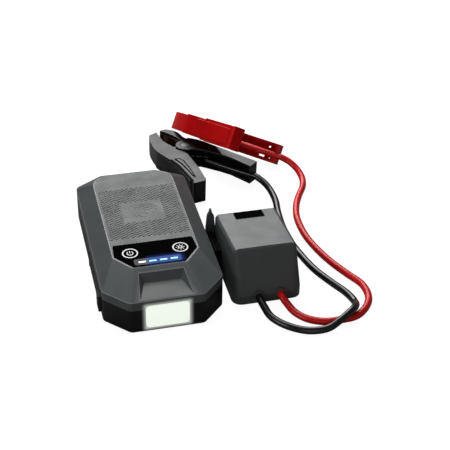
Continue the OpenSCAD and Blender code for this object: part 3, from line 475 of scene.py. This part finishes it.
def evaluatedMesh(thing):
    bpy.context.view_layer.update()
    return bpy.data.meshes.new_from_object(thing.evaluated_get(bpy.context.evaluated_depsgraph_get()))


def settle(piece):
    # the piece's modifiers become part of its mesh
    mesh = evaluatedMesh(piece)
    mesh.name = piece.name
    piece.modifiers.clear()
    old = piece.data
    piece.data = mesh
    bpy.data.meshes.remove(old)


def ride(piece, node, replaced=()):
    # the piece moves with the body that the node is on, and may stand for nodes
    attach(piece, bodyOf(node))
    if replaced:
        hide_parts(*replaced)


easing = {
    "outer": 28,           # an outer edge is eased from this angle, in degrees
    "sharp": 32,           # a fold is crisp from this one
    "inner": 32,           # and an inner corner from this one
    "lowest": -2,          # an edge whose outward z is less than this isn't eased
    "edgeUpTo": 1,         # a face whose outward z is more than this keeps the piece's own finish
    "steps": 3,
    "flatWeight": 80,      # how far the large faces pull the shading flat
    "roomShare": 0.42,     # the most that an ease takes of the room beside its edge
    "places": (0.2, 0.5, 0.8),   # where along an edge that room is measured
    "lean": 0.5,           # another edge is beside it if the gap leans less than this along it
    "openRoom": 1.0,       # room of an edge with nothing beside it, in metres
    "backToBack": 0.01,    # two normals that add up to less than this face away from each other
    "clearance": 0.05,     # the look for free air begins this far off the edge
}

# a piece's 'edge' finish is a lighter one on its eased faces: a painted edge highlight
easedPieces = {
    "upperShell": {"node": "upper_shell", "finish": "shellGray", "slot": "shell_gray", "edge": "edgeHighlightGray",
                   "ease": 0.45, "lowest": -0.3, "outer": 14, "inner": 9},
    "lowerShell": {"node": "lower_shell", "finish": "shellBlack", "slot": "shell_black", "edge": "rimHighlight",
                   "ease": 0.45, "edgeUpTo": -0.15},
    "moduleUpperShell": {"node": "module_upper_shell", "finish": "moduleGray", "slot": "shell_gray",
                         "ease": 0.2, "lowest": -0.3},
    "moduleLowerShell": {"node": "module_lower_shell", "finish": "moduleGray", "slot": "shell_gray",
                         "ease": 0.2},
    "dockCollar": {"node": "dock_collar", "finish": "shellGray", "slot": "shell_gray", "ease": 0.15},
    "sidePortCover": {"node": "side_port_cover", "finish": "softRubber", "slot": "rubber_black", "ease": 0.3},
    "plugBody": {"node": "plug_body", "finish": "plugBlack", "slot": "plug_black", "ease": 0.12},
}
for tint in ("black", "red"):
    for part in ("fixed", "moving"):
        # each lever's eased edges take a lighter finish, a painted edge highlight
        easedPieces[f"{tint}{part.capitalize()}Lever"] = {
            "node": f"{tint}_{part}_lever", "finish": "clamp" + tint.capitalize(), "slot": "clamp_" + tint,
            "edge": "edge" + tint.capitalize(), "ease": 0.3}


def isEased(edge, tree, spec):
    # true for an outer edge with free air in front of it
    if not edge.is_manifold or not edge.is_convex:
        return False
    if edge.calc_face_angle() < math.radians(spec["outer"]):
        return False
    outward = edge.link_faces[0].normal + edge.link_faces[1].normal
    if outward.length < spec["backToBack"]:
        return False
    outward.normalize()
    middle = (edge.verts[0].co + edge.verts[1].co) / 2
    free = tree.ray_cast(middle + outward * spec["clearance"] * mm, outward)[0] is None
    return free and outward.z >= spec["lowest"]


def roomBeside(edges, spec):
    # distance from each edge to the nearest other one that runs beside it
    ends = np.array([[tuple(vert.co) for vert in edge.verts] for edge in edges])
    corners = np.array([[vert.index for vert in edge.verts] for edge in edges])
    start, run = ends[:, 0], ends[:, 1] - ends[:, 0]
    length = np.maximum(np.linalg.norm(run, axis=1), 1e-9)     # never zero
    way = run / length[:, None]
    room = np.full(len(edges), spec["openRoom"])
    for share in spec["places"]:
        for place in range(len(edges)):
            spot = start[place] + share * run[place]
            along = np.clip(((spot - start) * way).sum(axis=1), 0, length)
            gap = start + along[:, None] * way - spot
            far = np.linalg.norm(gap, axis=1)
            apart = ~np.isin(corners, corners[place]).any(axis=1)
            beside = apart & (np.abs(gap @ way[place]) < spec["lean"] * far)
            if beside.any():
                room[place] = min(room[place], far[beside].min())
    return room


def weighEdges(form, spec):
    # each eased edge is eased as far as the room beside it allows
    weights = form.edges.layers.float.new("bevel_weight_edge")
    form.verts.index_update()
    tree = BVHTree.FromBMesh(form)
    chosen = [edge for edge in form.edges if isEased(edge, tree, spec)]
    for edge, room in zip(chosen, roomBeside(chosen, spec)):
        edge[weights] = min(1.0, spec["roomShare"] * room / (spec["ease"] * mm))


def sharpenCorners(piece, spec):
    # crisp inner corners, and the piece's own finish back on faces that face too far up
    form = bmesh.new()
    form.from_mesh(piece.data)
    for edge in form.edges:
        inner = edge.is_manifold and not edge.is_convex
        if inner and edge.calc_face_angle() > math.radians(spec["inner"]):
            edge.smooth = False
    for face in form.faces:
        if face.normal.z > spec["edgeUpTo"]:
            face.material_index = 0
    form.to_mesh(piece.data)
    form.free()


def addEased(name, own):
    spec = {**easing, **own}
    form = mergedCopy(spec["node"], welding)
    weighEdges(form, spec)
    piece = linked(name, meshFrom(form, name))
    ease = piece.modifiers.new("ease", "BEVEL")
    ease.width = spec["ease"] * mm
    ease.segments = spec["steps"]
    ease.limit_method = "WEIGHT"
    ease.use_clamp_overlap = False
    ease.miter_outer = "MITER_ARC"
    ease.harden_normals = False
    dress(piece, spec["finish"])
    # the eased faces take the lighter edge finish: a painted highlight along the edges
    if "edge" in spec:
        piece.data.materials.append(finishes[spec["edge"]])
        ease.material = 1
    settle(piece)
    piece.data.shade_smooth()
    piece.data.set_sharp_from_angle(angle=math.radians(spec["sharp"]))
    sharpenCorners(piece, spec)
    flat = piece.modifiers.new("flatFaces", "WEIGHTED_NORMAL")
    flat.keep_sharp = True
    flat.weight = spec["flatWeight"]
    settle(piece)
    ride(piece, spec["node"], [spec["node"]])
    return piece


skins = {name: addEased(name, spec) for name, spec in easedPieces.items()}
print("eased pieces ready:", len(skins), "with", sum(len(p.data.polygons) for p in skins.values()), "faces")


def ribbon(form, line, width, low, high, closed=False):
    # a flat raised line of that width along points in the plane, in millimetres
    spots = [Vector(p) for p in line]
    last = len(spots) - 1
    rings = []
    for place, spot in enumerate(spots):
        before = spots[place - 1] if place or closed else spot
        after = spots[(place + 1) % len(spots)] if place < last or closed else spot
        way = (after - before).normalized()
        aside = Vector((-way.y, way.x)) * width / 2
        left, right = spot + aside, spot - aside
        rings.append([form.verts.new((q.x * mm, q.y * mm, z * mm))
                      for q, z in ((left, low), (right, low), (right, high), (left, high))])
    pairs = list(zip(rings, rings[1:]))
    if closed:
        pairs.append((rings[-1], rings[0]))
    for one, two in pairs:
        for side in range(4):
            form.faces.new((one[side], one[(side + 1) % 4], two[(side + 1) % 4], two[side]))
    if not closed:
        form.faces.new(reversed(rings[0]))
        form.faces.new(rings[-1])


def plate(form, line, low, high):
    # a thin flat plate with that outline
    spots = [form.verts.new((x * mm, y * mm, low * mm)) for x, y in line]
    grown = bmesh.ops.extrude_face_region(form, geom=[form.faces.new(spots)])
    for made in grown["geom"]:
        if isinstance(made, bmesh.types.BMVert):
            made.co.z = high * mm


def arc(middle, radius, start, end, steps=24):
    angles = [math.radians(start + (end - start) * i / steps) for i in range(steps + 1)]
    return [(middle[0] + radius * math.cos(a), middle[1] + radius * math.sin(a)) for a in angles]


def ringLine(middle, radius, steps=48):
    return arc(middle, radius, 0, 360 - 360 / steps, steps - 1)


def addMarks(name, node, finish, lines=(), plates=()):
    form = bmesh.new()
    for line in lines:
        ribbon(form, *line)
    for outline in plates:
        plate(form, *outline)
    bmesh.ops.recalc_face_normals(form, faces=form.faces)
    piece = linked(name, meshFrom(form, name))
    dress(piece, finish)
    ride(piece, node)


buttonMarks = {
    "power": (-20, -41.3),
    "light": (20, -41.3),
    "top": 39.0,           # height of the button caps
    "ink": 0.03,
    "ringRadius": 5.75,
    "ringWidth": 1.05,
    "lineWidth": 0.75,
    "powerRadius": 2.35,
    "powerSweep": (128, 412),
    "powerBar": (0.3, 3.1),    # from and to, above the middle
    "bulbRadius": 1.45,
    "bulbSteps": 24,
    "rays": 8,
    "rayWidth": 0.6,
    "rayFrom": 2.35,
    "rayTo": 3.5,
}


def powerSign(spec):
    x, y = spec["power"]
    low, high = spec["powerBar"]
    sweep = arc((x, y), spec["powerRadius"], *spec["powerSweep"])
    return [(sweep, spec["lineWidth"]), ([(x, y + low), (x, y + high)], spec["lineWidth"])]


def lightSign(spec):
    x, y = spec["light"]
    lines = [(ringLine((x, y), spec["bulbRadius"], spec["bulbSteps"]), spec["lineWidth"], True)]
    for ray in range(spec["rays"]):
        turn = math.tau * ray / spec["rays"]
        lines.append(([(x + r * math.cos(turn), y + r * math.sin(turn))
                       for r in (spec["rayFrom"], spec["rayTo"])], spec["rayWidth"]))
    return lines


def addButtonMarks(spec):
    low, high = spec["top"], spec["top"] + spec["ink"]
    for button, sign in (("power", powerSign), ("light", lightSign)):
        ring = (ringLine(spec[button], spec["ringRadius"]), spec["ringWidth"], True)
        lines = [(line, width, low, high, *closed) for line, width, *closed in [ring, *sign(spec)]]
        addMarks(button + "Mark", button + "_button", "whitePrintPaintedGlow", lines)


addButtonMarks(buttonMarks)

capsule = {
    "middle": (-0.25, -54.0),
    "half": (18.55, 3.8),
    "radius": 2.2,
    "cornerSteps": 6,
    "top": 38.9,           # the panel's face
    "ink": 0.02,
    "rim": 0.5,
    "fieldTo": -7.6,       # the tinted field behind the first bar ends here
    "barRise": 0.05,       # how far the lit bars stand above the panel
    "barTop": 38.4,        # points of a bar above this height belong to its lit end
    "whiteUpTo": -8,       # a bar left of this x is white
}


def capsuleEnd(spec, side):
    # one end of the capsule, side -1 the left and 1 the right, with both corners rounded
    (x, y), (wide, deep), r = spec["middle"], spec["half"], spec["radius"]
    near, turn, steps = x + side * (wide - r), -90 * side, spec["cornerSteps"]
    first = arc((near, y - side * (deep - r)), r, turn, turn + 90, steps)
    second = arc((near, y + side * (deep - r)), r, turn + 90, turn + 180, steps)
    return [(spec["fieldTo"], y - side * deep), *first, *second, (spec["fieldTo"], y + side * deep)]


def addBars(name, finish, side, spec):
    # the bars on one side of the limit, lifted a little out of the panel
    form = mergedCopy("charge_bars", welding)
    others = [v for v in form.verts if side * (v.co.x - spec["whiteUpTo"] * mm) < 0]
    bmesh.ops.delete(form, geom=others, context="VERTS")
    for vert in form.verts:
        if vert.co.z > spec["barTop"] * mm:
            vert.co.z += spec["barRise"] * mm
    piece = linked(name, meshFrom(form, name))
    dress(piece, finish)
    ride(piece, "control_panel", ["charge_bars"])


def addCapsule(spec):
    top, inked = spec["top"], spec["top"] + spec["ink"]
    left, right = capsuleEnd(spec, -1), capsuleEnd(spec, 1)
    rim = (left, spec["rim"], top, inked + spec["ink"])
    addMarks("barField", "control_panel", "capsuleGray", [rim], [(left, top, inked)])
    addMarks("litField", "control_panel", "blueField", plates=[(right, top, inked)])
    addBars("firstBar", "whiteGlow", -1, spec)
    addBars("chargeBars", "blueGlow", 1, spec)


addCapsule(capsule)

padSpec = {
    "middle": (0, 15.2, 39.0),
    "columns": 15,
    "rows": 25,            # each followed by a staggered one
    "pitch": (4.3, 2.92),
    "bump": (1.25, 0.5, 0.26),
    "facets": (8, 4),      # round and up a bump
    "plain": (0.3, 15.05),     # middle of the square that is left smooth
    "plainHalf": (16.9, 14.75),
    "seed": 7,
    "vary": 0.12,
}

padSockets = {
    "Columns": "Int", "Rows": "Int", "Grid Size": "Vector", "Stagger": "Vector", "Middle": "Vector",
    "Bump Size": "Vector", "Free Middle": "Vector", "Free Half Size": "Vector", "Variation": "Float",
    "Seed": "Int", "Finish": "Material",
}


def bumpTree(spec):
    # staggered rows of small bumps on a grid, with a square left free
    group = bpy.data.node_groups.new("padBumps", "GeometryNodeTree")
    face = group.interface
    face.new_socket("Geometry", in_out="INPUT", socket_type="NodeSocketGeometry")
    for name, kind in padSockets.items():
        face.new_socket(name, in_out="INPUT", socket_type="NodeSocket" + kind)
    face.new_socket("Geometry", in_out="OUTPUT", socket_type="NodeSocketGeometry")
    inside = group.nodes.new("NodeGroupInput")
    given = {socket.name: socket for socket in inside.outputs}

    def add(kind, links=(), **values):
        node = group.nodes.new(kind)
        for key, value in values.items():
            setattr(node, key, value)
        for place, source in dict(links).items():
            if isinstance(source, (int, float)):
                node.inputs[place].default_value = source
            else:
                group.links.new(source, node.inputs[place])
        return node

    sides = add("ShaderNodeSeparateXYZ", {0: given["Grid Size"]})
    grid = add("GeometryNodeMeshGrid", {"Size X": sides.outputs[0], "Size Y": sides.outputs[1],
                                        "Vertices X": given["Columns"], "Vertices Y": given["Rows"]})
    moved = add("GeometryNodeTransform", {"Geometry": grid.outputs["Mesh"], "Translation": given["Stagger"]})
    both = add("GeometryNodeJoinGeometry")
    group.links.new(grid.outputs["Mesh"], both.inputs[0])
    group.links.new(moved.outputs[0], both.inputs[0])
    put = add("GeometryNodeTransform", {"Geometry": both.outputs[0], "Translation": given["Middle"]})

    spot = add("GeometryNodeInputPosition")
    off = add("ShaderNodeVectorMath", {0: spot.outputs[0], 1: given["Free Middle"]}, operation="SUBTRACT")
    apart = add("ShaderNodeVectorMath", {0: off.outputs[0]}, operation="ABSOLUTE")
    far = add("ShaderNodeSeparateXYZ", {0: apart.outputs[0]})
    half = add("ShaderNodeSeparateXYZ", {0: given["Free Half Size"]})
    tests = [add("ShaderNodeMath", {0: far.outputs[axis], 1: half.outputs[axis]}, operation="LESS_THAN")
             for axis in (0, 1)]
    within = add("ShaderNodeMath", {0: tests[0].outputs[0], 1: tests[1].outputs[0]}, operation="MULTIPLY")
    kept = add("GeometryNodeDeleteGeometry", {"Geometry": put.outputs[0], "Selection": within.outputs[0]})

    around, upwards = spec["facets"]
    ball = add("GeometryNodeMeshUVSphere", {"Segments": around, "Rings": upwards, "Radius": 1.0})
    bump = add("GeometryNodeTransform", {"Geometry": ball.outputs["Mesh"], "Scale": given["Bump Size"]})
    least = add("ShaderNodeMath", {0: 1.0, 1: given["Variation"]}, operation="SUBTRACT")
    most = add("ShaderNodeMath", {0: 1.0, 1: given["Variation"]}, operation="ADD")
    share = add("FunctionNodeRandomValue", data_type="FLOAT")
    limits = [socket for socket in share.inputs if socket.enabled]
    for socket, source in zip(limits[:2], (least.outputs[0], most.outputs[0])):
        group.links.new(source, socket)
    group.links.new(given["Seed"], share.inputs["Seed"])
    size = next(socket for socket in share.outputs if socket.enabled)

    spread = add("GeometryNodeInstanceOnPoints", {"Points": kept.outputs[0], "Instance": bump.outputs[0],
                                                  "Scale": size})
    real = add("GeometryNodeRealizeInstances", {"Geometry": spread.outputs[0]})
    painted = add("GeometryNodeSetMaterial", {"Geometry": real.outputs[0], "Material": given["Finish"]})
    outside = group.nodes.new("NodeGroupOutput")
    group.links.new(painted.outputs[0], outside.inputs[0])
    return group


def addPadBumps(spec):
    piece = linked("padBumps", bpy.data.meshes.new("padBumps"))
    modifier = piece.modifiers.new("bumps", "NODES")
    modifier.node_group = bumpTree(spec)
    pitch = Vector((*spec["pitch"], 0))
    gaps = Vector((spec["columns"] - 1, spec["rows"] - 1, 0))
    values = {
        "Columns": spec["columns"], "Rows": spec["rows"], "Variation": spec["vary"], "Seed": spec["seed"],
        "Grid Size": gaps * pitch * mm,
        "Stagger": pitch / 2 * mm,
        "Middle": (Vector(spec["middle"]) - pitch / 4) * mm,
        "Bump Size": Vector(spec["bump"]) * mm,
        "Free Middle": Vector((*spec["plain"], 0)) * mm,
        "Free Half Size": Vector((*spec["plainHalf"], 0)) * mm,
        "Finish": finishes["padGray"],
    }
    for socket in modifier.node_group.interface.items_tree:
        if socket.in_out == "INPUT" and socket.name in values:
            modifier[socket.identifier] = values[socket.name]
    settle(piece)
    piece.data.shade_smooth()
    ride(piece, "upper_shell")
    print("pad bumps:", len(piece.data.polygons), "faces")


addPadBumps(padSpec)

padArcs = {
    "middle": (3.4, 14.2),
    "top": 39.0,
    "rise": 0.16,
    "width": 0.9,
    "sweeps": [(11.0, 35, 215), (8.3, 10, 250), (5.6, -30, 200), (2.9, 0, 290)],   # radius, from and to
}


def addPadArcs(spec):
    # generic raised arcs that mark the middle of the pad
    low, high = spec["top"], spec["top"] + spec["rise"]
    lines = [(arc(spec["middle"], *sweep), spec["width"], low, high) for sweep in spec["sweeps"]]
    addMarks("padArcs", "upper_shell", "shellGray", lines)


addPadArcs(padArcs)

# a painted shadow line along the module's ridge
moduleRidgeShadow = {
    "from": (61.6, -61.9),
    "to": (105.4, -61.9),
    "width": 0.5,
    "low": 44.45,
    "high": 44.62,
}


def addModuleRidgeShadow(spec):
    # painted shadow: a black strip where the roof turns over into the front, standing for the shadow line at
    # the ridge
    line = ([spec["from"], spec["to"]], spec["width"], spec["low"], spec["high"])
    addMarks("moduleRidgeShadow", "module_upper_shell", "labelAndRidgeShadowBlack", [line])


addModuleRidgeShadow(moduleRidgeShadow)
# the seam in this text is the painted shadow line at the module's ridge
print("marks, bars and seam ready")

clamps = {  # place of each hinge, and the turns about x, y and z that lay the clamp down
    "black": {"hinge": (62.2, 145, 10), "turn": (2, 0.8, 117)},
    "red": {"hinge": (91.3, 166.3, 17.9), "turn": (35.1, 7.8, 123.2)},
    "leadEnd": (-67.6, -25.1, -1.5),   # in a clamp's own axes, where its lead comes in
    "leadTurn": 20,        # and the way that the lead then takes, in degrees
    "leadGap": 0.02,
}

springSpec = {
    "wire": 1.4,
    "roundness": 3,
    "radius": 4.4,         # of the coil, to the middle of the wire
    "pitch": 1.9,
    "turns": 4,
    "open": 50,            # the legs leave the coil at this angle on either side
    "fixedLeg": 21.6,
    "movingLeg": 33,
    "stepsPerTurn": 28,
}


def clampAxes(tint):
    x, y, z = [math.radians(angle) for angle in clamps[tint]["turn"]]
    turned = Matrix.Rotation(z, 3, "Z") @ Matrix.Rotation(y, 3, "Y") @ Matrix.Rotation(x, 3, "X")
    return turned, Vector(clamps[tint]["hinge"])


def tubeCurve(name, line, thickness, roundness):
    data = bpy.data.curves.new(name, "CURVE")
    data.dimensions = "3D"
    data.bevel_depth = thickness / 2
    data.bevel_resolution = roundness
    data.use_fill_caps = True
    spline = data.splines.new("POLY")
    spline.points.add(len(line) - 1)
    for spot, place in zip(spline.points, line):
        spot.co = (*place, 1)
    spline.use_smooth = True
    return linked(name, data)


def springLine(spec):
    # one wire: the fixed lever's leg, the coil and the moving lever's leg
    first, last = -spec["open"], spec["open"] + 360 * spec["turns"]
    turns = (last - first) / 360
    count = round(turns * spec["stepsPerTurn"])
    coil = []
    for i in range(count + 1):
        angle = math.radians(first + (last - first) * i / count)
        height = spec["pitch"] * turns * (i / count - 0.5)
        coil.append(Vector((spec["radius"] * math.cos(angle), spec["radius"] * math.sin(angle), height)))
    ways = [Vector((-math.sin(math.radians(a)), math.cos(math.radians(a)), 0)) for a in (first, last)]
    return [coil[0] - spec["fixedLeg"] * ways[0], *coil, coil[-1] + spec["movingLeg"] * ways[1]]


def addSpring(tint, spec):
    # the wire turns with the moving lever at one leg and stays with the fixed one at the other
    turned, hinge = clampAxes(tint)
    line = [(turned @ spot + hinge) * mm for spot in springLine(spec)]
    wire = tubeCurve(tint + "Spring", line, spec["wire"] * mm, spec["roundness"])
    mesh = evaluatedMesh(wire)
    bpy.data.objects.remove(wire)
    piece = linked(tint + "Spring", mesh)
    dress(piece, "steel")
    piece.data.shade_smooth()
    middle, aside = hinge * mm, turned @ Vector((0, spec["radius"], 0)) * mm
    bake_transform(piece, bodyOf(tint + "_fixed_lever"), bodyOf(tint + "_moving_lever"),
             tuple(middle - aside), tuple(middle + aside))
    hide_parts(tint + "_spring")
    return piece


springs = {tint: addSpring(tint, springSpec) for tint in ("black", "red")}
print("springs ready:", [len(piece.data.polygons) for piece in springs.values()])

leadSpec = {
    "diameter": 6,
    "smoothSteps": 6,      # points to each stretch of the route
    "roundness": 5,
    "stub": 4,             # straight stretch at each end
    "black": {
        "exit": (75.8, -76.8, 7),
        "route": [(77, -88, 5.4), (80, -99, 3.2), (89, -111.5, 3), (103, -120.5, 3), (118, -122, 3.6),
                  (129, -119, 7.4), (138, -114, 9.8), (145, -107, 8.4), (149, -96, 4), (146.5, -82, 3),
                  (139, -66, 3), (131, -47, 3), (125.7, -25, 3), (122.6, -3, 3), (122.3, 20, 3),
                  (124.4, 42, 3), (127, 58, 3), (126.8, 73, 4.2), (123.8, 84, 6.4)],
    },
    "red": {
        "exit": (93.7, -76.8, 7),
        "route": [(95.4, -86, 5), (99.4, -97, 3.1), (107, -107, 3), (119, -113, 3), (132, -113.4, 3),
                  (145, -111.6, 3), (156, -102.6, 3), (162.4, -90, 3), (162.4, -74, 3), (155.4, -58.6, 3),
                  (147, -39, 3), (140.6, -17, 3), (137.4, 4, 3), (138, 28, 3), (142.7, 47, 3),
                  (149.4, 62, 3), (157.6, 77, 3), (161, 90, 3.4), (159.8, 102.2, 5.6), (154.8, 110.9, 9)],
    },
}


def smoothLine(points, steps):
    # a smooth curve through all the points
    padded = [2 * points[0] - points[1], *points, 2 * points[-1] - points[-2]]
    line = []
    for a, b, c, d in zip(padded, padded[1:], padded[2:], padded[3:]):
        for step in range(steps):
            t = step / steps
            line.append(0.5 * (2 * b + (c - a) * t + (2 * a - 5 * b + 4 * c - d) * t * t
                               + (3 * b - a - 3 * c + d) * t * t * t))
    return line + [points[-1]]


def leadRoute(tint, spec):
    # from the module's gland, straight out, round to the clamp and straight in
    start = Vector(spec[tint]["exit"])
    turned, hinge = clampAxes(tint)
    angle = math.radians(clamps["leadTurn"])
    inward = Vector((math.cos(angle), math.sin(angle), 0))
    end = hinge + turned @ (Vector(clamps["leadEnd"]) - clamps["leadGap"] * inward)
    after = start - Vector((0, spec["stub"], 0))
    before = end - spec["stub"] * (turned @ inward)
    return [start, after, *[Vector(p) for p in spec[tint]["route"]], before, end]


def addLead(tint, spec):
    route = leadRoute(tint, spec)
    line = [spot * mm for spot in smoothLine(route, spec["smoothSteps"])]
    lead = tubeCurve(tint + "Lead", line, spec["diameter"] * mm, spec["roundness"])
    dress(lead, "lead" + tint.capitalize())
    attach(lead, "lead_set")
    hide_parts(tint + "_lead")
    others = (tint + "_lead", tint + "_gland")
    clampPieces = [cadNodes[n] for n in sorted(cadNodes) if n.startswith(tint + "_") and n not in others]
    clampPieces += [skins[tint + "FixedLever"], skins[tint + "MovingLever"], springs[tint]]


for tint in ("black", "red"):
    addLead(tint, leadSpec)
